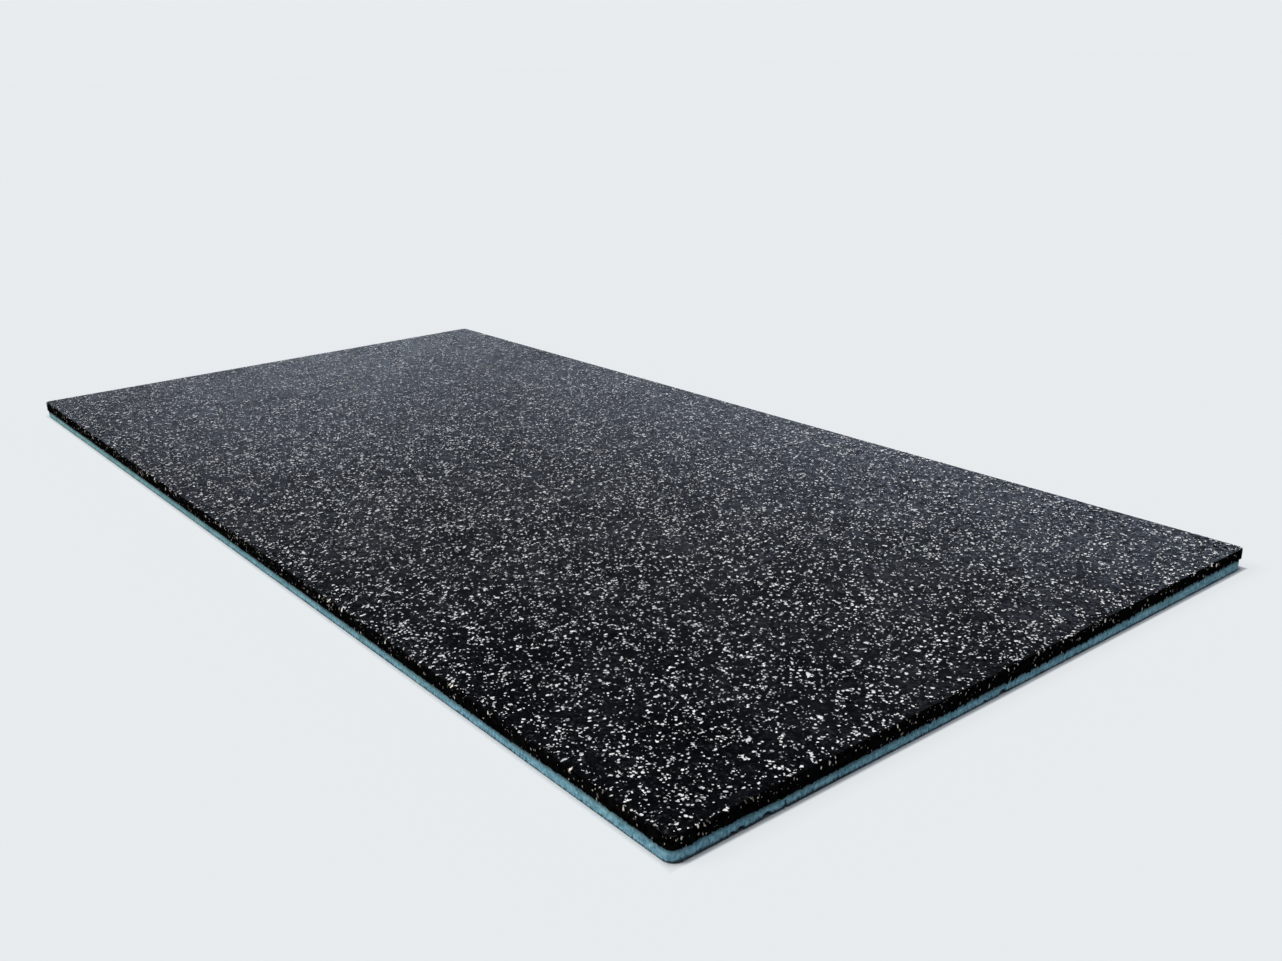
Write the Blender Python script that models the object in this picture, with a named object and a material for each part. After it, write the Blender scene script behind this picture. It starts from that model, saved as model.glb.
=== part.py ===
"""Stable wall protection tile: a plate of bonded rubber granules on a blue foam backing.

The tile lies on its foam. +X runs along the long side, +Y along the short side and +Z through
the thickness, from the foam's underside at z = 0 to the flecked face. All sizes are in metres.
"""
import math

import bmesh
import bpy
from mathutils import Matrix, Vector

# Driving dimensions
LENGTH = 1.000
WIDTH = 0.500
THICKNESS = 0.015
FOAM_THICKNESS = 0.0065
BOND_LINE = 0.0003

# Corners and arrises. The soft foam springs back a little behind the rubber once the tile is cut.
RUBBER_CORNER_RADIUS = 0.0045
FOAM_CORNER_RADIUS = 0.0070
FOAM_SET_BACK = 0.0004
FACE_ARRIS = 0.0008
UNDERSIDE_ARRIS = 0.0004
CORNER_SEGMENTS = 8
ARRIS_SEGMENTS = 3

# Crumbs torn out of the foam's bottom edge at the +X end: each one's distance from the corner
# at -Y, its length along the edge and its height. All go the same way into the foam.
EDGE_CHIPS = (
    (0.0366, 0.0034, 0.0010),
    (0.0421, 0.0046, 0.0013),
    (0.0595, 0.0045, 0.0016),
    (0.2220, 0.0026, 0.0010),
    (0.2375, 0.0066, 0.0018),
)
CHIP_DEPTH = 0.0016
CHIP_SUBDIVISIONS = 2

# Finishes: base colour and roughness
RUBBER_FINISH = ((0.012, 0.013, 0.015), 0.80)
FOAM_FINISH = ((0.100, 0.300, 0.370), 0.85)

SMOOTH_BELOW = math.radians(30)
SAME_PLANE = 1e-6


def clear_scene():
    for old in list(bpy.data.objects):
        bpy.data.objects.remove(old, do_unlink=True)


def add_collection(name):
    collection = bpy.data.collections.new(name)
    bpy.context.scene.collection.children.link(collection)
    return collection


def principled(name, finish):
    colour, roughness = finish
    material = bpy.data.materials.new(name)
    material.use_nodes = True
    shader = material.node_tree.nodes["Principled BSDF"]
    shader.inputs["Base Color"].default_value = (*colour, 1.0)
    shader.inputs["Roughness"].default_value = roughness
    shader.inputs["Metallic"].default_value = 0.0
    material.diffuse_color = (*colour, 1.0)
    return material


def block(size, middle):
    """A box as a bmesh, size = (x, y, z), about its middle."""
    shape = bmesh.new()
    place = Matrix.Translation(middle) @ Matrix.Diagonal((*size, 1.0))
    bmesh.ops.create_cube(shape, size=1.0, matrix=place)
    return shape


def round_upright_corners(shape, radius):
    upright = [
        edge for edge in shape.edges
        if abs(edge.verts[0].co.z - edge.verts[1].co.z) > SAME_PLANE
    ]
    bmesh.ops.bevel(shape, geom=upright, offset=radius, segments=CORNER_SEGMENTS,
                    profile=0.5, affect="EDGES")


def ease_arris(shape, level, width):
    """Round the arris that runs right round the plate at the height level."""
    arris = [
        edge for edge in shape.edges
        if all(abs(corner.co.z - level) < SAME_PLANE for corner in edge.verts)
    ]
    bmesh.ops.bevel(shape, geom=arris, offset=width, segments=ARRIS_SEGMENTS,
                    profile=0.5, affect="EDGES")


def add_object(name, shape, collection, material=None):
    mesh = bpy.data.meshes.new(name)
    bmesh.ops.recalc_face_normals(shape, faces=shape.faces)
    shape.to_mesh(mesh)
    shape.free()
    mesh.shade_smooth()
    mesh.set_sharp_from_angle(angle=SMOOTH_BELOW)
    if material:
        mesh.materials.append(material)
    thing = bpy.data.objects.new(name, mesh)
    collection.objects.link(thing)
    return thing


def rubber_wear_layer(collection):
    """The upper ply, with square sides and an eased arris round the flecked face."""
    bottom = FOAM_THICKNESS + BOND_LINE
    height = THICKNESS - bottom
    shape = block((LENGTH, WIDTH, height), Vector((0, 0, bottom + height / 2)))
    round_upright_corners(shape, RUBBER_CORNER_RADIUS)
    ease_arris(shape, THICKNESS, FACE_ARRIS)
    return add_object("rubber_wear_layer", shape, collection,
                      principled("bonded_rubber_granules", RUBBER_FINISH))


def foam_backing(collection, cutters):
    """The lower ply, which the tile lies on, chipped along the bottom edge of the +X end."""
    size = (LENGTH - 2 * FOAM_SET_BACK, WIDTH - 2 * FOAM_SET_BACK, FOAM_THICKNESS)
    shape = block(size, Vector((0, 0, FOAM_THICKNESS / 2)))
    round_upright_corners(shape, FOAM_CORNER_RADIUS)
    ease_arris(shape, 0.0, UNDERSIDE_ARRIS)
    foam = add_object("foam_backing", shape, collection, principled("blue_foam", FOAM_FINISH))
    for number, (from_corner, length, height) in enumerate(EDGE_CHIPS, start=1):
        chip = chip_cutter(f"chip_{number}", from_corner, length, height, cutters)
        cut = foam.modifiers.new(chip.name, "BOOLEAN")
        cut.operation = "DIFFERENCE"
        cut.solver = "EXACT"
        cut.object = chip
    return foam


def chip_cutter(name, from_corner, length, height, cutters):
    """A flattened ball centred on the foam's bottom edge at the +X end."""
    middle = Vector((LENGTH / 2 - FOAM_SET_BACK, from_corner - WIDTH / 2, 0.0))
    radii = (CHIP_DEPTH, length / 2, height)
    shape = bmesh.new()
    bmesh.ops.create_icosphere(shape, subdivisions=CHIP_SUBDIVISIONS, radius=1.0,
                               matrix=Matrix.Translation(middle) @ Matrix.Diagonal((*radii, 1.0)))
    cutter = add_object(name, shape, cutters)
    cutter.hide_render = True
    cutter.display_type = "WIRE"
    return cutter


def main():
    clear_scene()
    tile = add_collection("stable_wall_protection_tile")
    cutters = add_collection("cutters")
    rubber_wear_layer(tile)
    foam_backing(tile, cutters)


main()
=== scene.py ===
"""Looks of the stable wall protection tile: flecked rubber granules bonded to a blue foam backing."""
import math

import bpy
import numpy as np
from mathutils import Matrix, Vector


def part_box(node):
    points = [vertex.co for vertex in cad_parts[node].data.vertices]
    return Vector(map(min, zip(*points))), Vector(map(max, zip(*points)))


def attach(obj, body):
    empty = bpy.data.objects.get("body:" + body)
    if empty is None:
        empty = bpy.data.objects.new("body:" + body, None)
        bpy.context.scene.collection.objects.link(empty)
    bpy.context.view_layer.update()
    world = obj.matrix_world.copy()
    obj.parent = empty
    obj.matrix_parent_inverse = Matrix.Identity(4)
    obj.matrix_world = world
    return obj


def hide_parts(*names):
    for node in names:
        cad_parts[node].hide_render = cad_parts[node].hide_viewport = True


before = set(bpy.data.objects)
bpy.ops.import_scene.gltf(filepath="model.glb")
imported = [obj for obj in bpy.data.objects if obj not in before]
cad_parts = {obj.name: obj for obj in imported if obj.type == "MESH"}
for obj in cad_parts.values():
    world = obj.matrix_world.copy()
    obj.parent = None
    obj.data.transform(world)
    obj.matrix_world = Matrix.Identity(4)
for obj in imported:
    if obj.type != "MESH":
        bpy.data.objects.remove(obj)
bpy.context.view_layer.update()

MM = 0.001

# The tile, from the frame
RUBBER = "rubber_wear_layer"
FOAM = "foam_backing"
BODY = "root"
RUBBER_LOW, RUBBER_HIGH = (Vector(corner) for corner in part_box(RUBBER))
FOAM_LOW, FOAM_HIGH = (Vector(corner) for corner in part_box(FOAM))
LENGTH = RUBBER_HIGH.x - RUBBER_LOW.x
WIDTH = RUBBER_HIGH.y - RUBBER_LOW.y
FACE = RUBBER_HIGH.z
BOND = (FOAM_HIGH.z + RUBBER_LOW.z) / 2
SET_BACK = FOAM_LOW.x - RUBBER_LOW.x

# Corners and arrises, as in the solids
RUBBER_CORNER = 4.5 * MM
FOAM_CORNER = 7.0 * MM
FACE_ARRIS = 0.8 * MM
UNDERSIDE_ARRIS = 0.4 * MM

# The seam between the plies climbs towards the corner at +X and +Y: how far, and from where to where
SEAM_CLIMB = 1.9 * MM
CLIMB_ALONG = (0.35, 0.50)
CLIMB_ACROSS = (0.03, 0.225)
# It climbs a share of that towards the corner at +X and -Y, over a shorter way
NEAR_SHARE = 0.60
NEAR_ALONG = (0.37, 0.42)
NEAR_ACROSS = (-0.185, -0.215)
# Its teeth grow by this share from -Y to +Y at the +X end
MORE_TOOTH = 1.0
TEETH_ACROSS = (-0.14, -0.02)

WELD = 0.01 * MM


class Nodes:
    """A node tree, with short calls for the nodes that it is built from."""

    def __init__(self, tree):
        self.tree = tree

    def feed(self, socket, value):
        if isinstance(value, bpy.types.NodeSocket):
            self.tree.links.new(value, socket)
        else:
            socket.default_value = value

    def add(self, kind, inputs=None, **settings):
        node = self.tree.nodes.new(kind)
        for name, value in settings.items():
            setattr(node, name, value)
        for name, value in (inputs or {}).items():
            self.feed(node.inputs[name], value)
        return node

    def math(self, operation, *values, clamp=False):
        node = self.add("ShaderNodeMath", operation=operation, use_clamp=clamp)
        for socket, value in zip(node.inputs, values):
            self.feed(socket, value)
        return node.outputs[0]

    def plus(self, total, *others):
        for other in others:
            total = self.math("ADD", total, other)
        return total

    def minus(self, value, less):
        return self.math("SUBTRACT", value, less)

    def times(self, value, factor):
        return self.math("MULTIPLY", value, factor)

    def vector(self, operation, *values):
        node = self.add("ShaderNodeVectorMath", operation=operation)
        for socket, value in zip(node.inputs, values):
            self.feed(socket, value)
        return node.outputs["Vector"]

    def scaled(self, vector, factor):
        return self.add("ShaderNodeVectorMath", {"Vector": vector, "Scale": factor},
                        operation="SCALE").outputs["Vector"]

    def dot(self, first, second):
        return self.add("ShaderNodeVectorMath", {0: first, 1: second},
                        operation="DOT_PRODUCT").outputs["Value"]

    def split(self, vector):
        return self.add("ShaderNodeSeparateXYZ", {"Vector": vector}).outputs

    def joined(self, x, y, z):
        return self.add("ShaderNodeCombineXYZ", {"X": x, "Y": y, "Z": z}).outputs["Vector"]

    def between(self, value, low, high):
        return self.add("ShaderNodeClamp", {"Value": value, "Min": low, "Max": high}).outputs[0]

    def mapped(self, value, from_low, from_high, to_low, to_high):
        names = ("Value", "From Min", "From Max", "To Min", "To Max")
        values = (value, from_low, from_high, to_low, to_high)
        return self.add("ShaderNodeMapRange", dict(zip(names, values))).outputs["Result"]

    def noise(self, vector, scale, detail=2.0, roughness=0.5):
        return self.add("ShaderNodeTexNoise", {"Vector": vector, "Scale": scale, "Detail": detail,
                                               "Roughness": roughness}).outputs["Fac"]

    def cells(self, vector, scale, feature="F1"):
        return self.add("ShaderNodeTexVoronoi", {"Vector": vector, "Scale": scale}, feature=feature)


# Geometry Nodes helpers


def geometry_tree(name, inputs):
    """A tree with a geometry in and out and named inputs, given as name: (socket type, value)."""
    tree = bpy.data.node_groups.new(name, "GeometryNodeTree")
    tree.interface.new_socket("Geometry", in_out="INPUT", socket_type="NodeSocketGeometry")
    tree.interface.new_socket("Geometry", in_out="OUTPUT", socket_type="NodeSocketGeometry")
    for label, (kind, value) in inputs.items():
        socket = tree.interface.new_socket(label, in_out="INPUT", socket_type=kind)
        if value is not None:
            socket.default_value = value
    nodes = Nodes(tree)
    given = nodes.add("NodeGroupInput").outputs
    return nodes, given


def finish_tree(nodes, geometry, material, *other_materials):
    """End a tree with real geometry in its own material, and others on the faces they name."""
    real = nodes.add("GeometryNodeRealizeInstances", {"Geometry": geometry})
    last = real.outputs["Geometry"]
    for finish, chosen in ((material, True), *other_materials):
        coloured = nodes.add("GeometryNodeSetMaterial", {
            "Geometry": last, "Selection": chosen, "Material": finish})
        last = coloured.outputs["Geometry"]
    nodes.add("NodeGroupOutput", {"Geometry": last})
    return nodes.tree


def grown(name, tree, values, start=None):
    """The piece that a tree makes from the mesh start: a plain mesh, with its place in the mesh."""
    maker = bpy.data.objects.new(name + "_maker", start or bpy.data.meshes.new(name + "_start"))
    bpy.context.scene.collection.objects.link(maker)
    modifier = maker.modifiers.new(name, "NODES")
    modifier.node_group = tree
    for socket in tree.interface.items_tree:
        if socket.in_out == "INPUT" and socket.name in values:
            modifier[socket.identifier] = values[socket.name]
    evaluated = maker.evaluated_get(bpy.context.evaluated_depsgraph_get())
    mesh = bpy.data.meshes.new_from_object(evaluated)
    mesh.name = name
    bpy.data.objects.remove(maker, do_unlink=True)
    piece = bpy.data.objects.new(name, mesh)
    bpy.context.scene.collection.objects.link(piece)
    return piece


def position(nodes):
    return nodes.add("GeometryNodeInputPosition").outputs["Position"]


def facing_up(nodes):
    """How far a face looks up: 1 is level, 0 is upright and -1 looks down."""
    return nodes.split(nodes.add("GeometryNodeInputNormal").outputs["Normal"])["Z"]


# The plies


PLY_INPUTS = {
    "Length": ("NodeSocketFloat", 1.0),
    "Width": ("NodeSocketFloat", 0.5),
    "Corner Radius": ("NodeSocketFloat", 5 * MM),
    "Underside": ("NodeSocketFloat", 0.0),
    "Thickness": ("NodeSocketFloat", 7 * MM),
    "Lower Arris": ("NodeSocketFloat", 0.0),
    "Lower Arris Rows": ("NodeSocketInt", 0),
    "Upper Arris": ("NodeSocketFloat", 0.0),
    "Upper Arris Rows": ("NodeSocketInt", 0),
    "Wall Rows": ("NodeSocketInt", 12),
    "Lower Climb": ("NodeSocketFloat", 0.0),
    "Upper Climb": ("NodeSocketFloat", 0.0),
    "Lip": ("NodeSocketFloat", 0.0),
    "Lip Drop": ("NodeSocketFloat", 0.0),
    "Spacing": ("NodeSocketFloat", 0.7 * MM),
    "Grain Size": ("NodeSocketFloat", 2 * MM),
    "Grain Depth": ("NodeSocketFloat", 0.2 * MM),
    "Cut Pitch": ("NodeSocketFloat", 1 * MM),
    "Cut Depth": ("NodeSocketFloat", 0.1 * MM),
    "Material": ("NodeSocketMaterial", None),
    "Face Material": ("NodeSocketMaterial", None),
}
CORNER_POINTS = 12
# How far up a face looks: the cap while the prism grows, the flecked face, and what stays unsmoothed
CAP_LEVEL = 0.5
LEAST_LEVEL = 0.95
FLAT_LEVEL = 0.995


def to_corner(nodes, place, across):
    """0 over most of the tile, and rising along and across to 1 at the corner at +X and +Y."""
    x, y, _ = nodes.split(place)
    return nodes.times(nodes.mapped(x, *CLIMB_ALONG, 0.0, 1.0), nodes.mapped(y, *across, 0.0, 1.0))


def seam_rise(nodes, place):
    """How far the seam has climbed at a place, as a share of SEAM_CLIMB."""
    x, y, _ = nodes.split(place)
    near = nodes.times(nodes.mapped(x, *NEAR_ALONG, 0.0, NEAR_SHARE),
                       nodes.mapped(y, *NEAR_ACROSS, 0.0, 1.0))
    return nodes.plus(to_corner(nodes, place, CLIMB_ACROSS), near)


def stacked_outline(nodes, given, rows):
    """A prism on the rounded outline, one unit of height for each row of points."""
    outline = nodes.add("GeometryNodeCurvePrimitiveQuadrilateral",
                        {"Width": given["Length"], "Height": given["Width"]}, mode="RECTANGLE")
    rounded = nodes.add("GeometryNodeFilletCurve", {
        "Curve": outline.outputs["Curve"], "Radius": given["Corner Radius"],
        "Count": CORNER_POINTS}, mode="POLY")
    even = nodes.add("GeometryNodeResampleCurve", {
        "Curve": rounded.outputs["Curve"], "Length": given["Spacing"]}, mode="LENGTH")
    cap = nodes.add("GeometryNodeFillCurve", {"Curve": even.outputs["Curve"]}, mode="NGONS")
    underside = nodes.add("GeometryNodeFlipFaces", {"Mesh": cap.outputs["Mesh"]})
    start = nodes.add("GeometryNodeRepeatInput")
    end = nodes.add("GeometryNodeRepeatOutput")
    start.pair_with_output(end)
    nodes.feed(start.inputs["Iterations"], rows)
    nodes.feed(start.inputs["Geometry"], cap.outputs["Mesh"])
    on_top = nodes.math("GREATER_THAN", facing_up(nodes), CAP_LEVEL)
    raised = nodes.add("GeometryNodeExtrudeMesh", {
        "Mesh": start.outputs["Geometry"], "Selection": on_top, "Offset": (0.0, 0.0, 1.0),
        "Offset Scale": 1.0, "Individual": False}, mode="FACES")
    nodes.feed(end.inputs["Geometry"], raised.outputs["Mesh"])
    both = nodes.add("GeometryNodeJoinGeometry")
    nodes.feed(both.inputs[0], underside.outputs["Mesh"])
    nodes.feed(both.inputs[0], end.outputs["Geometry"])
    return nodes.add("GeometryNodeMergeByDistance",
                     {"Geometry": both.outputs[0], "Distance": WELD}).outputs["Geometry"]


def outward(nodes, given, place):
    """The outline's outward direction at a point on it."""
    half = nodes.scaled(nodes.joined(given["Length"], given["Width"], 0.0), 0.5)
    radius = nodes.joined(given["Corner Radius"], given["Corner Radius"], 0.0)
    straight = nodes.vector("SUBTRACT", half, radius)
    past = nodes.vector("SUBTRACT", nodes.vector("ABSOLUTE", place), straight)
    past = nodes.vector("MAXIMUM", past, (0.0, 0.0, 0.0))
    towards = nodes.vector("MULTIPLY", past, nodes.vector("SIGN", place))
    return nodes.vector("NORMALIZE", nodes.vector("MULTIPLY", towards, (1.0, 1.0, 0.0)))


def section(nodes, given, row):
    """A row's way in from the outline, its height, and its share of the wall: quarter circles at
    the arrises, a straight wall between them, and a lip at the wall's foot."""
    low_rows = given["Lower Arris Rows"]
    low_arris = given["Lower Arris"]
    high_arris = given["Upper Arris"]

    def share(first, count):
        steps = nodes.between(nodes.minus(row, first), 0.0, count)
        return nodes.math("DIVIDE", steps, nodes.math("MAXIMUM", count, 1.0))

    def one_less(operation, turn):
        return nodes.minus(1.0, nodes.math(operation, turn))

    after_low = nodes.plus(low_rows, 1.0)
    low_turn = nodes.times(share(1.0, low_rows), math.pi / 2)
    wall = share(after_low, given["Wall Rows"])
    after_wall = nodes.plus(after_low, given["Wall Rows"])
    high_turn = nodes.times(share(after_wall, given["Upper Arris Rows"]), math.pi / 2)

    low_in = nodes.times(low_arris, one_less("SINE", low_turn))
    low_up = nodes.times(low_arris, one_less("COSINE", low_turn))
    high_in = nodes.times(high_arris, one_less("COSINE", high_turn))
    high_up = nodes.times(high_arris, nodes.math("SINE", high_turn))
    straight = nodes.minus(given["Thickness"], nodes.plus(low_arris, high_arris))
    wall_up = nodes.times(wall, straight)
    first_row = nodes.minus(1.0, nodes.between(row, 0.0, 1.0))
    lip_in = nodes.times(given["Lip"], first_row)
    inward = nodes.plus(low_in, high_in, lip_in)
    height = nodes.plus(low_up, high_up, nodes.plus(wall_up, given["Underside"]))
    return inward, height, wall


def seam_climb(nodes, given, place, wall):
    """How much higher a row is where the seam climbs, shared out over the wall."""
    lower_climb = nodes.times(given["Lower Climb"], nodes.minus(1.0, wall))
    upper_climb = nodes.times(given["Upper Climb"], wall)
    return nodes.times(seam_rise(nodes, place), nodes.plus(lower_climb, upper_climb))


# How far apart the teeth are, and where in the noise one begins and where it is full
TOOTH_PITCH = 1.6 * MM
TOOTH_NOISE = (0.47, 0.72)


def seam_teeth(nodes, given, place, flat, row):
    """How far teeth of smeared granules hang from the lower edge of the wall."""
    tooth = nodes.noise(flat, 1 / TOOTH_PITCH, detail=1.0)
    tooth = nodes.mapped(tooth, *TOOTH_NOISE, 0.0, 1.0)
    at_edge = nodes.math("COMPARE", row, 1.0, 0.5)
    longer = nodes.times(to_corner(nodes, place, TEETH_ACROSS), MORE_TOOTH)
    tooth = nodes.times(tooth, nodes.plus(longer, 1.0))
    return nodes.times(nodes.times(tooth, at_edge), given["Lip Drop"])


GRAIN_POWER = 1.5
CUT_STRETCH = 0.12
CUT_DETAIL = 3.0
CUT_ROUGHNESS = 0.65


def sawn_relief(nodes, given, place, height, row):
    """How far torn granules and upright saw marks go into the wall."""
    x, y, _ = nodes.split(place)
    there = nodes.joined(x, y, height)
    grain = nodes.cells(there, nodes.math("DIVIDE", 1.0, given["Grain Size"])).outputs["Distance"]
    grain = nodes.times(nodes.math("POWER", grain, GRAIN_POWER), given["Grain Depth"])
    upright = nodes.vector("MULTIPLY", there, (1.0, 1.0, CUT_STRETCH))
    cut = nodes.noise(upright, nodes.math("DIVIDE", 1.0, given["Cut Pitch"]), detail=CUT_DETAIL,
                      roughness=CUT_ROUGHNESS)
    cut = nodes.times(cut, given["Cut Depth"])
    on_wall = nodes.math("MINIMUM", row, 1.0)
    return nodes.times(nodes.plus(grain, cut), on_wall)


def ply_tree():
    """A sawn ply: a plate with rounded corners, eased arrises and the cut grain on its sides."""
    nodes, given = geometry_tree("sawn_ply", PLY_INPUTS)
    arris_rows = nodes.plus(given["Lower Arris Rows"], given["Upper Arris Rows"])
    prism = stacked_outline(nodes, given, nodes.plus(arris_rows, nodes.plus(given["Wall Rows"], 1.0)))
    place = position(nodes)
    flat = nodes.vector("MULTIPLY", place, (1.0, 1.0, 0.0))
    row = nodes.split(place)["Z"]

    inward, height, wall = section(nodes, given, row)
    height = nodes.plus(height, seam_climb(nodes, given, place, wall))
    height = nodes.minus(height, seam_teeth(nodes, given, place, flat, row))
    inward = nodes.plus(inward, sawn_relief(nodes, given, place, height, row))

    moved = nodes.vector("SUBTRACT", flat, nodes.scaled(outward(nodes, given, place), inward))
    moved = nodes.vector("ADD", moved, nodes.joined(0.0, 0.0, height))
    shaped = nodes.add("GeometryNodeSetPosition", {"Geometry": prism, "Position": moved})
    welded = nodes.add("GeometryNodeMergeByDistance",
                       {"Geometry": shaped.outputs["Geometry"], "Distance": WELD})
    facing = facing_up(nodes)
    beside = nodes.math("LESS_THAN", nodes.math("ABSOLUTE", facing), FLAT_LEVEL)
    smooth = nodes.add("GeometryNodeSetShadeSmooth", {
        "Geometry": welded.outputs["Geometry"], "Shade Smooth": beside})
    above = nodes.math("GREATER_THAN", facing, LEAST_LEVEL)
    return finish_tree(nodes, smooth.outputs["Geometry"], given["Material"],
                       (given["Face Material"], above))


# The flecks


FLECK_INPUTS = {
    "Density": ("NodeSocketFloat", 20000.0),
    "Least Gap": ("NodeSocketFloat", 0.9 * MM),
    "Clump Size": ("NodeSocketFloat", 6 * MM),
    "Least Radius": ("NodeSocketFloat", 0.28 * MM),
    "Most Radius": ("NodeSocketFloat", 0.95 * MM),
    "Size Bias": ("NodeSocketFloat", 1.7),
    "Stretch": ("NodeSocketFloat", 1.15),
    "Turn": ("NodeSocketFloat", math.pi),
    "Tilt": ("NodeSocketFloat", math.radians(4)),
    "Depth": ("NodeSocketFloat", 0.5),
    "Proud": ("NodeSocketFloat", 0.05 * MM),
    "Chipped": ("NodeSocketFloat", 0.5),
    "On Sides": ("NodeSocketBool", False),
    "Rarest At": ("NodeSocketFloat", -1.0),
    "Commonest At": ("NodeSocketFloat", 0.0),
    "Seed": ("NodeSocketInt", 0),
    "Material": ("NodeSocketMaterial", None),
}
FLECK_SIDES = 6
# No fleck goes where a side looks further down than this
MOST_OVERHUNG = -0.5
# Clumps: where in the noise the share of points rises, and the share that is left between clumps
CLUMP_NOISE = (0.36, 0.60)
SPARSE_SHARE = 0.18
# Large black granules: their size, their rim, and the share of points that is left inside
LARGE_GRANULE = 7 * MM
GRANULE_RIM = (0.10, 0.32)
GRANULE_SHARE = 0.25
# The least and most that chance makes of a fleck's stretch, and of how proud it stands
STRETCH_CHANCE = (0.7, 1.3)
LIFT_CHANCE = (0.4, 1.0)
# What each random draw adds to the seed
DRAWS = {"size": 1, "stretch": 2, "tilt_x": 3, "tilt_y": 4, "turn": 5, "lift": 6, "chip": 7, "thin": 8}


def dice(nodes, given, draw, low, high):
    turned = nodes.plus(given["Seed"], float(DRAWS[draw]))
    made = nodes.add("FunctionNodeRandomValue", {"Seed": turned}, data_type="FLOAT")
    floats = [socket for socket in made.inputs if socket.type == "VALUE"]
    nodes.feed(floats[0], low)
    nodes.feed(floats[1], high)
    return made.outputs[1]


def swing(nodes, given, draw, limit):
    return nodes.times(limit, dice(nodes, given, draw, -1.0, 1.0))


def scattered(nodes, given):
    """Points on the flat face, or else on the sides with their arris."""
    rise = facing_up(nodes)
    level = nodes.math("GREATER_THAN", rise, LEAST_LEVEL)
    over = nodes.math("GREATER_THAN", rise, MOST_OVERHUNG)
    chosen = nodes.add("GeometryNodeSwitch", {
        "Switch": given["On Sides"], "False": level, "True": nodes.minus(over, level)},
        input_type="FLOAT")
    spots = nodes.add("GeometryNodeDistributePointsOnFaces", {
        "Mesh": given["Geometry"], "Selection": chosen.outputs["Output"],
        "Distance Min": given["Least Gap"], "Density Max": given["Density"],
        "Seed": given["Seed"]}, distribute_method="POISSON")
    return spots.outputs["Points"], spots.outputs["Normal"]


def thinned(nodes, given, points, there):
    """Fewer points between clumps, inside the large black granules, and towards one height."""
    clump = nodes.noise(there, nodes.math("DIVIDE", 1.0, given["Clump Size"]), detail=1.0)
    in_clump = nodes.mapped(clump, *CLUMP_NOISE, SPARSE_SHARE, 1.0)
    large = nodes.cells(there, 1 / LARGE_GRANULE, feature="DISTANCE_TO_EDGE")
    in_rim = nodes.mapped(large.outputs["Distance"], *GRANULE_RIM, 1.0, GRANULE_SHARE)
    at_height = nodes.mapped(nodes.split(there)["Z"], given["Rarest At"], given["Commonest At"],
                             0.0, 1.0)
    share = nodes.times(nodes.times(in_clump, in_rim), at_height)
    spare = nodes.math("GREATER_THAN", dice(nodes, given, "thin", 0.0, 1.0), share)
    kept_points = nodes.add("GeometryNodeDeleteGeometry",
                            {"Geometry": points, "Selection": spare}, domain="POINT")
    return kept_points.outputs["Geometry"]


def fleck_size(nodes, given):
    bias = nodes.math("POWER", dice(nodes, given, "size", 0.0, 1.0), given["Size Bias"])
    spread = nodes.minus(given["Most Radius"], given["Least Radius"])
    radius = nodes.plus(given["Least Radius"], nodes.times(bias, spread))
    stretch = nodes.times(given["Stretch"], dice(nodes, given, "stretch", *STRETCH_CHANCE))
    return nodes.joined(radius, nodes.times(radius, stretch), nodes.times(radius, given["Depth"]))


def fleck_turn(nodes, given, facing):
    """Lying level in the face, or else set into a side, and then tilted and turned by chance."""
    upright = nodes.add("FunctionNodeAxesToRotation", {
        "Primary Axis": facing, "Secondary Axis": (0.0, 0.0, 1.0)},
        primary_axis="Z", secondary_axis="Y")
    lying = nodes.add("FunctionNodeEulerToRotation", {"Euler": (0.0, 0.0, 0.0)})
    base = nodes.add("GeometryNodeSwitch", {
        "Switch": given["On Sides"], "False": lying.outputs["Rotation"],
        "True": upright.outputs["Rotation"]}, input_type="ROTATION")
    by_chance = nodes.joined(swing(nodes, given, "tilt_x", given["Tilt"]),
                             swing(nodes, given, "tilt_y", given["Tilt"]),
                             swing(nodes, given, "turn", given["Turn"]))
    spin = nodes.add("FunctionNodeEulerToRotation", {"Euler": by_chance})
    turned = nodes.add("FunctionNodeRotateRotation", {
        "Rotation": base.outputs["Output"], "Rotate By": spin.outputs["Rotation"]},
        rotation_space="LOCAL")
    return turned.outputs["Rotation"]


def chip_shape(nodes):
    """A many-sided chip, one across and one deep, with its flat top at zero and its point below."""
    chip = nodes.add("GeometryNodeMeshCone", {
        "Vertices": FLECK_SIDES, "Side Segments": 1, "Fill Segments": 1,
        "Radius Top": 1.0, "Radius Bottom": 0.0, "Depth": 1.0}, fill_type="NGON")
    sunk = nodes.add("GeometryNodeTransform", {
        "Geometry": chip.outputs["Mesh"], "Translation": (0.0, 0.0, -1.0)})
    return sunk.outputs["Geometry"]


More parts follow.
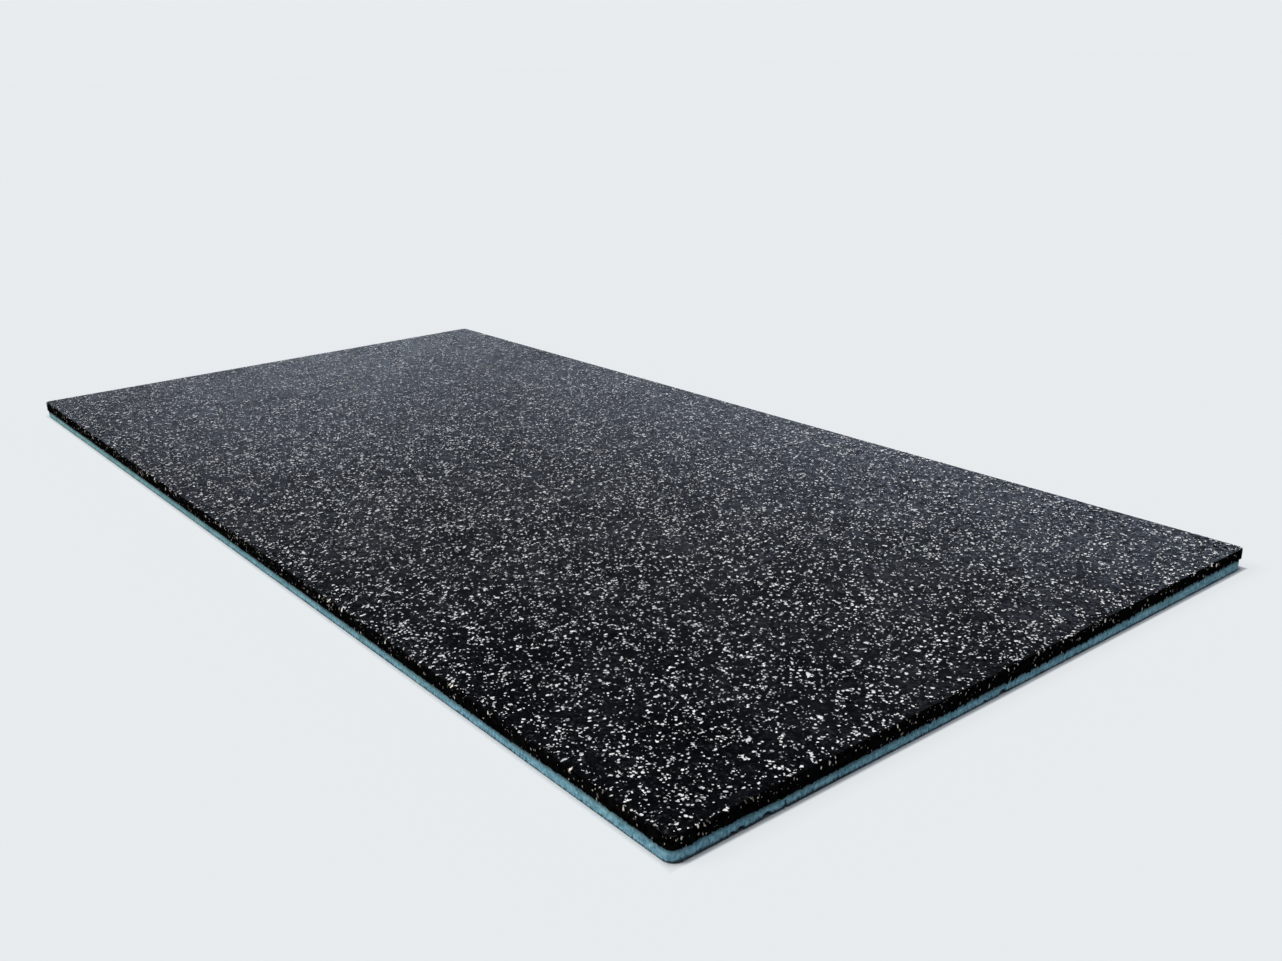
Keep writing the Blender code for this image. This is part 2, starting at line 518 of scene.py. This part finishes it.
def fleck_tree():
    """Angular granules set into a skin: flat on top, with a point below it."""
    nodes, given = geometry_tree("flecks", FLECK_INPUTS)
    there = position(nodes)
    points, facing = scattered(nodes, given)
    points = thinned(nodes, given, points, there)
    lift = nodes.times(given["Proud"], dice(nodes, given, "lift", *LIFT_CHANCE))
    lifted = nodes.add("GeometryNodeSetPosition", {
        "Geometry": points, "Offset": nodes.scaled(facing, lift)})
    kept_middle = nodes.add("GeometryNodeStoreNamedAttribute", {
        "Geometry": lifted.outputs["Geometry"], "Name": "middle", "Value": there},
        data_type="FLOAT_VECTOR", domain="POINT")
    placed = nodes.add("GeometryNodeInstanceOnPoints", {
        "Points": kept_middle.outputs["Geometry"], "Instance": chip_shape(nodes),
        "Rotation": fleck_turn(nodes, given, facing), "Scale": fleck_size(nodes, given)})
    real = nodes.add("GeometryNodeRealizeInstances", {"Geometry": placed.outputs["Instances"]})

    # Each corner is drawn in or out from the middle, so that no two outlines are alike
    middle = nodes.add("GeometryNodeInputNamedAttribute", {"Name": "middle"},
                       data_type="FLOAT_VECTOR").outputs["Attribute"]
    reach = nodes.vector("SUBTRACT", there, middle)
    drawn = swing(nodes, given, "chip", given["Chipped"])
    shaped = nodes.add("GeometryNodeSetPosition", {
        "Geometry": real.outputs["Geometry"], "Offset": nodes.scaled(reach, drawn)})
    plain = nodes.add("GeometryNodeRemoveAttribute", {
        "Geometry": shaped.outputs["Geometry"], "Name": "middle"})
    return finish_tree(nodes, plain.outputs["Geometry"], given["Material"])


# Materials


NOTHING = (0.0, 0.0, 0.0, 1.0)


def shaded(name):
    """A new material, as its nodes, its Principled shader and its Object coordinates."""
    material = bpy.data.materials.new(name)
    material.use_nodes = True
    nodes = Nodes(material.node_tree)
    shader = material.node_tree.nodes["Principled BSDF"]
    where = nodes.add("ShaderNodeTexCoord").outputs["Object"]
    return material, nodes, shader, where


def mixed(nodes, factor, first, second):
    made = nodes.add("ShaderNodeMix", data_type="RGBA")
    colours = [socket for socket in made.inputs if socket.type == "RGBA"]
    nodes.feed(made.inputs[0], factor)
    nodes.feed(colours[0], first)
    nodes.feed(colours[1], second)
    return made.outputs[2]


def polish(shader, roughness, specular):
    shader.inputs["Roughness"].default_value = roughness
    shader.inputs["Specular IOR Level"].default_value = specular


def bumped(nodes, shader, height, strength, distance):
    bump = nodes.add("ShaderNodeBump", {"Height": height, "Strength": strength, "Distance": distance})
    nodes.feed(shader.inputs["Normal"], bump.outputs["Normal"])


# The rolled face: black granules between two tones, and a few small dull grains
GRANULE = 2.2 * MM
BLACKEST = (0.0006, 0.0007, 0.0010, 1.0)
LEAST_BLACK = (0.0026, 0.0029, 0.0037, 1.0)
GRIT = 1.3 * MM
GRIT_FROM = 0.90
GRIT_GREY = (0.026, 0.027, 0.029, 1.0)
# Clouds in its tone and gloss: how many to the metre, and how much they count
CLOUDS = 14.0
CLOUD_DETAIL = 5.0
CLOUD_ROUGHNESS = 0.62
CLOUD_EDGES = (0.35, 0.65)
CLOUD_TONE = 0.4
GRANULE_TONE = 0.6
# Its roughness: the least, and what dull granules and dull clouds add
FACE_ROUGHNESS = 0.085
DULL_GRANULE = 0.12
DULL_CLOUD = 0.16
FACE_SPECULAR = 0.09
# Its relief in millimetres: grooves between granules, their lean, their skin, and shallow rolls
GROOVE_REACH = 0.10
GROOVE_DEPTH = 0.15
FACET_SLOPE = 0.09
SKIN_SIZE = 0.6 * MM
SKIN_DEPTH = 0.006
ROLL_SIZE = 8 * MM
ROLL_DEPTH = 0.12


def rubber_face_material():
    """Black rubber granules rolled flat in their binder: each has its own tone, gloss and lean."""
    material, nodes, shader, where = shaded("rolled_black_granules")
    granules = nodes.cells(where, 1 / GRANULE)
    tone, lean_x, lean_y = nodes.split(granules.outputs["Color"])
    cloud = nodes.noise(where, CLOUDS, detail=CLOUD_DETAIL, roughness=CLOUD_ROUGHNESS)
    shade = nodes.plus(nodes.times(tone, GRANULE_TONE), nodes.times(cloud, CLOUD_TONE))
    black = mixed(nodes, shade, BLACKEST, LEAST_BLACK)
    grit = nodes.split(nodes.cells(where, 1 / GRIT).outputs["Color"])["X"]
    dull = nodes.mapped(grit, GRIT_FROM, 1.0, 0.0, 1.0)
    nodes.feed(shader.inputs["Base Color"], mixed(nodes, dull, black, GRIT_GREY))

    patches = nodes.mapped(cloud, *CLOUD_EDGES, 0.0, 1.0)
    rough = nodes.plus(nodes.times(nodes.math("POWER", tone, 2.0), DULL_GRANULE),
                       nodes.times(patches, DULL_CLOUD), FACE_ROUGHNESS)
    nodes.feed(shader.inputs["Roughness"], rough)
    shader.inputs["Specular IOR Level"].default_value = FACE_SPECULAR

    edge = nodes.cells(where, 1 / GRANULE, feature="DISTANCE_TO_EDGE").outputs["Distance"]
    groove = nodes.times(nodes.math("MINIMUM", edge, GROOVE_REACH), GROOVE_DEPTH)
    from_middle = nodes.vector("SUBTRACT", where, granules.outputs["Position"])
    lean = nodes.vector("SUBTRACT", nodes.joined(lean_x, lean_y, 0.5), (0.5, 0.5, 0.5))
    facet = nodes.times(nodes.dot(from_middle, lean), FACET_SLOPE / MM)
    skin = nodes.times(nodes.noise(where, 1 / SKIN_SIZE), SKIN_DEPTH)
    rolls = nodes.times(nodes.noise(where, 1 / ROLL_SIZE, detail=1.0), ROLL_DEPTH)
    relief = nodes.plus(nodes.plus(groove, facet), nodes.plus(skin, rolls))
    bumped(nodes, shader, relief, 1.0, MM)
    return material


# The sawn sides: tones, upright streaks, and torn relief
SIDE_BLACKEST = (0.0006, 0.0006, 0.0007, 1.0)
SIDE_LEAST_BLACK = (0.0034, 0.0034, 0.0034, 1.0)
SIDE_TONE_EDGES = (0.5, 1.5)
STREAK_PITCH = 1.2 * MM
STREAK_STRETCH = 0.15
SIDE_ROUGHNESS = 0.95
TEAR_SIZE = 0.5 * MM
TEAR_STRENGTH = 0.6
TEAR_DEPTH = 0.3 * MM


def rubber_side_material():
    """The same granules sawn through: dull, torn and full of pores that swallow the light."""
    material, nodes, shader, where = shaded("sawn_black_granules")
    tone = nodes.split(nodes.cells(where, 1 / GRANULE).outputs["Color"])["X"]
    upright = nodes.vector("MULTIPLY", where, (1.0, 1.0, STREAK_STRETCH))
    streaks = nodes.noise(upright, 1 / STREAK_PITCH)
    shade = nodes.mapped(nodes.plus(tone, streaks), *SIDE_TONE_EDGES, 0.0, 1.0)
    nodes.feed(shader.inputs["Base Color"], mixed(nodes, shade, SIDE_BLACKEST, SIDE_LEAST_BLACK))
    polish(shader, SIDE_ROUGHNESS, 0.0)
    tears = nodes.noise(where, 1 / TEAR_SIZE, detail=3.0)
    bumped(nodes, shader, tears, TEAR_STRENGTH, TEAR_DEPTH)
    return material


# Foam: the darkest and the palest of each dye
TEAL = ((0.045, 0.145, 0.155, 1.0), (0.225, 0.430, 0.425, 1.0))
BLUE = ((0.045, 0.142, 0.195, 1.0), (0.220, 0.428, 0.515, 1.0))
# Its tone: saw marks, mottle and grit, their sizes and how much each counts
MARK_PITCH = 1.2 * MM
MARK_STRETCH = 0.45
MARK_DETAIL = 3.0
MARK_ROUGHNESS = 0.6
MARK_TONE = 0.5
MOTTLE_SIZE = 9 * MM
MOTTLE_TONE = 0.2
FOAM_GRIT_SIZE = 1.8 * MM
FOAM_GRIT_TONE = 0.3
TONE_EDGES = (0.40, 0.60)
# The dye drifts from teal to blue along the tile, back across it, and back with height
DRIFT_ACROSS = 0.6
DRIFT_HEIGHT = (2 * MM, 5 * MM)
DRIFT_UP = 0.35
DRIFT_SIZE = 60 * MM
DRIFT_EDGES = (0.15, 0.95)
# Its finish and cells
FOAM_ROUGHNESS = 0.88
FOAM_SPECULAR = 0.25
CELL_SIZE = 0.9 * MM
CELL_SHARE = 0.4
CELL_STRENGTH = 0.8
CELL_DEPTH = 0.4 * MM


def saw_marks(nodes, where):
    upright = nodes.vector("MULTIPLY", where, (1.0, 1.0, MARK_STRETCH))
    return nodes.noise(upright, 1 / MARK_PITCH, detail=MARK_DETAIL, roughness=MARK_ROUGHNESS)


def foam_dye(nodes, where, marks):
    """Teal or blue, in the foam's own uneven tone."""
    x, y, height = nodes.split(where)
    mottle = nodes.noise(where, 1 / MOTTLE_SIZE)
    grit = nodes.noise(where, 1 / FOAM_GRIT_SIZE)
    tone = nodes.plus(nodes.times(marks, MARK_TONE), nodes.times(mottle, MOTTLE_TONE),
                      nodes.times(grit, FOAM_GRIT_TONE))
    tone = nodes.mapped(tone, *TONE_EDGES, 0.0, 1.0)
    drift = nodes.minus(x, nodes.times(y, DRIFT_ACROSS))
    drift = nodes.minus(drift, nodes.mapped(height, *DRIFT_HEIGHT, 0.0, DRIFT_UP))
    drift = nodes.plus(drift, nodes.noise(where, 1 / DRIFT_SIZE, detail=1.0))
    return mixed(nodes, nodes.mapped(drift, *DRIFT_EDGES, 0.0, 1.0),
                 mixed(nodes, tone, *TEAL), mixed(nodes, tone, *BLUE))


# The dark colour for the foam's dust and painted shade, and how ragged their upper edge is
SHADE_AND_DUST_COLOUR = (0.010, 0.018, 0.024, 1.0)
RAGGED = 2.5 * MM
# Painted contact shadow along the bottom edge: how high it reaches by the corner at +X and
# -Y, further along that end, and on the other sides, its strength, and the part of that height
# over which it is full
CONTACT_SHADE_AT_CORNER = 2.5 * MM
CONTACT_SHADE_AT_END = 1.4 * MM
CONTACT_SHADE_ELSEWHERE = 1.3 * MM
CORNER_REACH = (90 * MM, 150 * MM)
END_REACH = (2 * MM, 1 * MM)
CONTACT_SHADE = 0.92
CONTACT_SHADE_FULL = 0.45
# On the underside it fades out this far from the sides
UNDER_FADE = (2 * MM, 6 * MM)
# Painted shade in the chips: its strength, and how far in it starts and is full. It ends deeper in,
# at the underside, below the seam and by the corners, each given as where there is none and where
# it is full.
CHIP_SHADE = 0.97
TORN_DEPTH = (0.4 * MM, 0.8 * MM)
TORN_DEEPEST = (3 * MM, 2 * MM)
TORN_LOWEST = (0.05 * MM, 0.15 * MM)
TORN_HIGHEST = (4.0 * MM, 3.6 * MM)
TORN_BY_CORNERS = (8 * MM, 9 * MM)
# Black dust rubbed down from the rubber below the seam, with painted shade under the rubber's
# overhang
DUST_AND_SHADE = 0.95
DUST_AND_SHADE_HEIGHT = (3.6 * MM, 6.4 * MM)


def foam_contact_shade(nodes, where, up):
    """Painted contact shadow along the bottom edge, worst towards the corner at +X and -Y."""
    x, y, _ = nodes.split(where)
    corner_start, corner_end = (FOAM_LOW.y + reach for reach in CORNER_REACH)
    end_start, end_end = (FOAM_HIGH.x - reach for reach in END_REACH)
    on_end = nodes.mapped(y, corner_start, corner_end, CONTACT_SHADE_AT_CORNER, CONTACT_SHADE_AT_END)
    reach = nodes.mapped(x, end_start, end_end, CONTACT_SHADE_ELSEWHERE, on_end)
    # Darker towards the foot of the sides: painted contact shadow
    contact_shade = nodes.mapped(up, nodes.times(reach, CONTACT_SHADE_FULL), reach, CONTACT_SHADE, 0.0)
    long_way = nodes.minus(FOAM_HIGH.x, nodes.math("ABSOLUTE", x))
    short_way = nodes.minus(FOAM_HIGH.y, nodes.math("ABSOLUTE", y))
    from_side = nodes.math("MINIMUM", long_way, short_way)
    return nodes.times(contact_shade, nodes.mapped(from_side, *UNDER_FADE, 1.0, 0.0))


def foam_chip_shade(nodes, where):
    """Painted shade where the end face is torn in, and not on the underside, the corners or further
    in.
    """
    x, y, height = nodes.split(where)
    inwards = nodes.minus(FOAM_HIGH.x, x)
    short_way = nodes.minus(FOAM_HIGH.y, nodes.math("ABSOLUTE", y))
    chip_shade = nodes.mapped(inwards, *TORN_DEPTH, 0.0, CHIP_SHADE)
    for value, limits in ((inwards, TORN_DEEPEST), (height, TORN_LOWEST), (height, TORN_HIGHEST),
                          (short_way, TORN_BY_CORNERS)):
        chip_shade = nodes.times(chip_shade, nodes.mapped(value, *limits, 0.0, 1.0))
    return chip_shade


def foam_material():
    """Teal-blue foam: fine cells, uneven dye, upright marks from the saw, black dust below the seam,
    and painted shade along the bottom edge, in the chips and under the rubber's overhang.
    """
    material, nodes, shader, where = shaded("blue_foam")
    marks = saw_marks(nodes, where)
    up = nodes.plus(nodes.split(where)["Z"], nodes.times(nodes.minus(marks, 0.5), RAGGED))
    climb = nodes.times(seam_rise(nodes, where), SEAM_CLIMB)
    # Darker just below the seam: black dust from the rubber and painted shade under its overhang
    dust_and_shade = nodes.mapped(nodes.minus(up, climb), *DUST_AND_SHADE_HEIGHT, 0.0, DUST_AND_SHADE)
    # Painted contact shadow along the bottom edge and painted shade in the chips
    edge = nodes.math("MAXIMUM", foam_contact_shade(nodes, where, up), foam_chip_shade(nodes, where))
    shade_and_dust = nodes.math("ADD", edge, dust_and_shade, clamp=True)
    nodes.feed(shader.inputs["Base Color"], mixed(nodes, shade_and_dust, foam_dye(nodes, where, marks), SHADE_AND_DUST_COLOUR))
    polish(shader, FOAM_ROUGHNESS, FOAM_SPECULAR)
    cells = nodes.cells(where, 1 / CELL_SIZE).outputs["Distance"]
    relief = nodes.plus(nodes.times(cells, CELL_SHARE), marks)
    bumped(nodes, shader, relief, CELL_STRENGTH, CELL_DEPTH)
    return material


# Light granules: how much darker and paler their tone drifts, their gloss and their pits
DUSTY = 0.8
CLEAN = 1.25
PALEST = 0.88
TONE_DRIFT = 3.5 * MM
TONE_DRIFT_EDGES = (0.3, 0.7)
FLECK_ROUGHNESS = 0.36
FLECK_SPECULAR = 0.8
PIT_SIZE = 0.3 * MM
PIT_STRENGTH = 0.4
PIT_DEPTH = 0.15 * MM


def fleck_material(name, colour):
    """One tone of the light granules, finely pitted."""
    material, nodes, shader, where = shaded(name)
    drift = nodes.noise(where, 1 / TONE_DRIFT, detail=0.0)
    drift = nodes.mapped(drift, *TONE_DRIFT_EDGES, 0.0, 1.0)
    dusty = tuple(DUSTY * part for part in colour)
    clean = tuple(min(CLEAN * part, PALEST) for part in colour)
    nodes.feed(shader.inputs["Base Color"], mixed(nodes, drift, (*dusty, 1.0), (*clean, 1.0)))
    polish(shader, FLECK_ROUGHNESS, FLECK_SPECULAR)
    bumped(nodes, shader, nodes.noise(where, 1 / PIT_SIZE), PIT_STRENGTH, PIT_DEPTH)
    return material


# Pieces


def kept(piece, slot, *replaced):
    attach(piece, BODY)
    if replaced:
        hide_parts(*replaced)
    return piece


RUBBER_PLATE = {
    "Length": LENGTH, "Width": WIDTH, "Corner Radius": RUBBER_CORNER,
    "Underside": BOND, "Thickness": FACE - BOND,
    "Upper Arris": FACE_ARRIS, "Upper Arris Rows": 3,
}


def rubber_ply(tree):
    ply = grown("rubber_ply", tree, {
        **RUBBER_PLATE, "Wall Rows": 15,
        "Lip": SET_BACK, "Lip Drop": 1.2 * MM, "Lower Climb": SEAM_CLIMB,
        "Grain Size": 1.9 * MM, "Grain Depth": 0.22 * MM,
        "Cut Pitch": 1.3 * MM, "Cut Depth": 0.16 * MM,
        "Material": rubber_side_material(), "Face Material": rubber_face_material(),
    })
    return kept(ply, "bonded_rubber", RUBBER)


# Crumbs torn out of the foam's bottom edge at the +X end: distance from the corner at -Y, length
# and height. They are where the solids have them, and take in the crumbling round each one.
EDGE_CHIPS = (
    (36.6 * MM, 4.4 * MM, 2.0 * MM),
    (42.1 * MM, 4.8 * MM, 2.8 * MM),
    (58.8 * MM, 7.2 * MM, 3.0 * MM),
    (222.0 * MM, 3.6 * MM, 2.0 * MM),
    (237.5 * MM, 7.6 * MM, 2.8 * MM),
)
CHIP_DEPTH = 1.6 * MM
# A slit across the foam's edge at the same end: distance from the corner at -Y, width and depth
SLIT_PLACE = 70.8 * MM
SLIT_WIDTH = 0.9 * MM
SLIT_DEPTH = 1.3 * MM


def tear_out_chips(mesh):
    """Push the foam's end face in where crumbs are missing from its bottom edge, and at the slit."""
    points = np.empty(len(mesh.vertices) * 3)
    mesh.vertices.foreach_get("co", points)
    points = points.reshape(-1, 3)
    end = FOAM_HIGH.x
    for from_corner, length, height in EDGE_CHIPS:
        along = (points[:, 1] - (RUBBER_LOW.y + from_corner)) / (length / 2)
        up = (points[:, 2] - FOAM_LOW.z) / height
        reach = np.sqrt(np.clip(1 - along**2 - up**2, 0, None))
        at_end = points[:, 0] > end - 2 * CHIP_DEPTH
        points[:, 0] -= np.where(at_end, reach, 0) * CHIP_DEPTH
    from_slit = np.abs(points[:, 1] - (RUBBER_LOW.y + SLIT_PLACE)) / (SLIT_WIDTH / 2)
    in_slit = (points[:, 0] > end - CHIP_DEPTH) & (from_slit < 1)
    points[:, 0] -= np.where(in_slit, SLIT_DEPTH * (1 - from_slit / 2), 0)
    mesh.vertices.foreach_set("co", points.ravel())
    mesh.update()


def foam_ply(tree):
    blue = foam_material()
    ply = grown("foam_ply", tree, {
        "Length": FOAM_HIGH.x - FOAM_LOW.x, "Width": FOAM_HIGH.y - FOAM_LOW.y,
        "Corner Radius": FOAM_CORNER, "Underside": FOAM_LOW.z, "Thickness": BOND - FOAM_LOW.z,
        "Lower Arris": UNDERSIDE_ARRIS, "Lower Arris Rows": 2, "Wall Rows": 11,
        "Upper Climb": SEAM_CLIMB,
        "Grain Size": 1.0 * MM, "Grain Depth": 0.06 * MM,
        "Cut Pitch": 1.0 * MM, "Cut Depth": 0.09 * MM,
        "Material": blue, "Face Material": blue,
    })
    tear_out_chips(ply.data)
    return kept(ply, "blue_foam", FOAM)


def fleck_skin(tree):
    """The rubber ply's surface without its grain, for the flecks to be set in."""
    return grown("fleck_skin", tree, {
        **RUBBER_PLATE, "Wall Rows": 2, "Spacing": 3 * MM, "Grain Depth": 0.0, "Cut Depth": 0.0,
    })


# Granules in the face: tone, colour, how many to a square metre, largest radius, how proud, seed
FACE_FLECKS = (
    ("pale", (0.86, 0.87, 0.87), 62000.0, 0.95 * MM, 0.30 * MM, 11),
    ("grey", (0.60, 0.61, 0.62), 54000.0, 0.95 * MM, 0.26 * MM, 23),
    ("dim", (0.26, 0.27, 0.28), 34000.0, 0.95 * MM, 0.16 * MM, 37),
    ("fine", (0.82, 0.83, 0.84), 40000.0, 0.48 * MM, 0.22 * MM, 59),
)
# Granules in the sawn sides, where most are cut through and brown with dust: tone, colour, how many
# to a square metre, largest radius, the height where there are none, seed
SIDE_FLECKS = (
    ("sandy", (0.62, 0.58, 0.51), 50000.0, 0.80 * MM, FACE - 3.2 * MM, 47),
    ("tan", (0.34, 0.28, 0.22), 50000.0, 0.50 * MM, BOND - 4.0 * MM, 53),
    ("drab", (0.09, 0.075, 0.06), 70000.0, 0.50 * MM, BOND - 8.0 * MM, 71),
)
# What the granules in the sides have in common: small, upright slivers, and commonest at the arris
SLIVERS = {
    "On Sides": True, "Proud": 0.02 * MM, "Least Radius": 0.14 * MM, "Stretch": 1.8,
    "Least Gap": 0.6 * MM, "Turn": math.radians(25), "Clump Size": 12 * MM,
    "Commonest At": FACE - FACE_ARRIS,
}


def flecks(tree, skin):
    for tone, colour, density, most, proud, seed in FACE_FLECKS:
        piece = grown(f"face_flecks_{tone}", tree, {
            "Density": density, "Most Radius": most, "Proud": proud, "Seed": seed,
            "Material": fleck_material(f"{tone}_granules", colour),
        }, start=skin.data)
        kept(piece, "bonded_rubber")
    for tone, colour, density, most, rarest, seed in SIDE_FLECKS:
        piece = grown(f"side_flecks_{tone}", tree, {
            **SLIVERS, "Density": density, "Most Radius": most, "Rarest At": rarest, "Seed": seed,
            "Material": fleck_material(f"{tone}_granules", colour),
        }, start=skin.data)
        kept(piece, "bonded_rubber")
    bpy.data.objects.remove(skin, do_unlink=True)


# Floor, light and camera


BACKDROP = (0.807, 0.838, 0.863, 1.0)
# The floor: its half width, how far below the tile it lies, how much it glows, and how much of the
# light it gives back where it glows and in the strip where it doesn't, which is a little less than
# would match the rest: a painted contact shadow round the tile
FLOOR_REACH = 30.0
FLOOR_GAP = 0.05 * MM
FLOOR_GLOW = 0.86
FLOOR_SHADE = 0.117
STRIP_SHADE = 0.78
# The strip begins under the tile's edge and ends outside it
STRIP_INSIDE = (-3.2 * MM, -2.56 * MM)
STRIP_OUTSIDE = (1.6 * MM, 3.2 * MM)


def pointing(azimuth, height):
    """The direction at an azimuth from +X and a height above the horizon, in degrees."""
    turn, rise = math.radians(azimuth), math.radians(height)
    return Vector((math.cos(turn) * math.cos(rise), math.sin(turn) * math.cos(rise),
                   math.sin(rise)))


def floor_material():
    """Pale and glowing for most of its brightness, except in a strip round the tile's edge, which
    doesn't glow and is painted a little darker, a painted contact shadow; so the tile's shadow is
    faint and short."""
    material, nodes, shader, where = shaded("pale_floor")
    half_tile = (FOAM_HIGH.x, FOAM_HIGH.y, 0.0)
    outside = nodes.split(nodes.vector("SUBTRACT", nodes.vector("ABSOLUTE", where), half_tile))
    away = nodes.math("MAXIMUM", outside["X"], outside["Y"])
    beyond = nodes.mapped(away, *STRIP_OUTSIDE, 0.0, FLOOR_GLOW)
    beneath = nodes.mapped(away, *STRIP_INSIDE, FLOOR_GLOW, 0.0)
    glow = nodes.math("MAXIMUM", beyond, beneath)
    # A little darker in the strip than the glowing floor: painted contact shadow round the tile
    lit = nodes.mapped(glow, 0.0, FLOOR_GLOW, STRIP_SHADE, FLOOR_SHADE)
    nodes.feed(shader.inputs["Base Color"], mixed(nodes, lit, NOTHING, BACKDROP))
    nodes.feed(shader.inputs["Emission Color"], mixed(nodes, glow, NOTHING, BACKDROP))
    shader.inputs["Emission Strength"].default_value = 1.0
    polish(shader, 1.0, 0.0)
    return material


def add_floor():
    mesh = bpy.data.meshes.new("floor")
    corners = [(-FLOOR_REACH, -FLOOR_REACH), (FLOOR_REACH, -FLOOR_REACH),
               (FLOOR_REACH, FLOOR_REACH), (-FLOOR_REACH, FLOOR_REACH)]
    mesh.from_pydata([(x, y, FOAM_LOW.z - FLOOR_GAP) for x, y in corners], [], [(0, 1, 2, 3)])
    mesh.materials.append(floor_material())
    floor = bpy.data.objects.new("floor", mesh)
    bpy.context.scene.collection.objects.link(floor)


# Lamps: azimuth and height in degrees, strength, spread in degrees, colour
LAMPS = {
    "key": (232, 45, 2.6, 30, (1.0, 0.98, 0.95)),
    "overhead": (0, 90, 1.6, 20, (0.97, 0.99, 1.0)),
}
# A pale screen behind the tile, low down, that its face mirrors. It is brightest in the middle.
SCREEN_AZIMUTH = 112
SCREEN_TINT = (0.68, 0.79, 1.00, 1.0)
SCREEN_GLOW = 1.45
MIDDLE_GLOW = 1.4
LEAST_GLOW = 0.5
MIDDLE_FROM = 0.6
MIDDLE_POWER = 3.0
# Its height in degrees: where it starts to fade, and where it ends at its sides and in its middle
SCREEN_FULL = 12
SCREEN_TOP = (18.5, 24.5)
TOP_CHANGES = (0.75, 0.96)
FADE_POWER = 1.7
# A second, small glow on it: azimuth, height and radius in degrees, and its share of the glow
SPOT_PLACE = (157, 11)
SPOT_RADIUS = 8
SPOT_GLOW = 0.4
# Everywhere above the screen, and the height of the horizon's edge
SKY_GLOW = 0.015
HORIZON = (0.04, 0.07)


def rise_of(degrees):
    return math.sin(math.radians(degrees))


def screen_glow(nodes, direction, height):
    towards = nodes.dot(direction, pointing(SCREEN_AZIMUTH, 0))
    middle = nodes.math("POWER", nodes.mapped(towards, MIDDLE_FROM, 1.0, 0.0, 1.0), MIDDLE_POWER)
    glow = nodes.plus(nodes.times(middle, MIDDLE_GLOW * SCREEN_GLOW), LEAST_GLOW * SCREEN_GLOW)
    low_top, high_top = (rise_of(degrees) for degrees in SCREEN_TOP)
    top = nodes.mapped(towards, *TOP_CHANGES, low_top, high_top)
    below_top = nodes.mapped(height, rise_of(SCREEN_FULL), top, 1.0, 0.0)
    below_top = nodes.math("POWER", below_top, FADE_POWER)
    spot = nodes.mapped(nodes.dot(direction, pointing(*SPOT_PLACE)),
                        math.cos(math.radians(SPOT_RADIUS)), 1.0, 0.0, SPOT_GLOW * SCREEN_GLOW)
    return nodes.plus(nodes.times(nodes.plus(glow, spot), below_top), SKY_GLOW)


def add_world():
    """The mirrored screen, over a horizon of backdrop. The camera itself sees only the backdrop."""
    world = bpy.data.worlds.new("studio")
    bpy.context.scene.world = world
    world.use_nodes = True
    nodes = Nodes(world.node_tree)
    background = world.node_tree.nodes["Background"]
    direction = nodes.add("ShaderNodeTexCoord").outputs["Generated"]
    height = nodes.split(direction)["Z"]
    glow = screen_glow(nodes, direction, height)
    seen = nodes.add("ShaderNodeLightPath").outputs["Is Camera Ray"]
    plain = nodes.math("MAXIMUM", nodes.mapped(height, *HORIZON, 1.0, 0.0), seen)
    strength = nodes.plus(nodes.times(plain, nodes.minus(1.0, glow)), glow)
    nodes.feed(background.inputs["Color"], mixed(nodes, plain, SCREEN_TINT, BACKDROP))
    nodes.feed(background.inputs["Strength"], strength)


def add_lamps():
    for name, (azimuth, height, energy, spread, colour) in LAMPS.items():
        light = bpy.data.lights.new(name, "SUN")
        light.energy = energy
        light.angle = math.radians(spread)
        light.color = colour
        lamp = bpy.data.objects.new(name, light)
        lamp.rotation_euler = pointing(azimuth, height).to_track_quat("Z", "Y").to_euler()
        bpy.context.scene.collection.objects.link(lamp)


# The camera: the photograph's focal length in its own pixels, place and turn
PHOTO_WIDTH = 1282
PHOTO_FOCAL = 1254.6
SENSOR = 36.0
NEAREST = 10 * MM
CAMERA_PLACE = (0.8598, -0.5435, 0.3382)
CAMERA_YAW = math.radians(51.84)
CAMERA_DOWN = math.radians(18.85)
CAMERA_ROLL = math.radians(-1.62)


def add_camera():
    camera = bpy.data.cameras.new("camera")
    camera.sensor_width = SENSOR
    camera.lens = SENSOR * PHOTO_FOCAL / PHOTO_WIDTH
    camera.clip_start = NEAREST
    holder = bpy.data.objects.new("camera", camera)
    turn = (Matrix.Rotation(CAMERA_YAW, 4, "Z") @ Matrix.Rotation(math.pi / 2 - CAMERA_DOWN, 4, "X")
            @ Matrix.Rotation(CAMERA_ROLL, 4, "Z"))
    holder.matrix_world = Matrix.Translation(CAMERA_PLACE) @ turn
    bpy.context.scene.collection.objects.link(holder)
    bpy.context.scene.camera = holder


def main():
    bpy.context.scene.view_settings.view_transform = "Standard"
    add_camera()
    add_world()
    add_lamps()
    add_floor()
    ply = ply_tree()
    rubber_ply(ply)
    foam_ply(ply)
    flecks(fleck_tree(), fleck_skin(ply))


main()
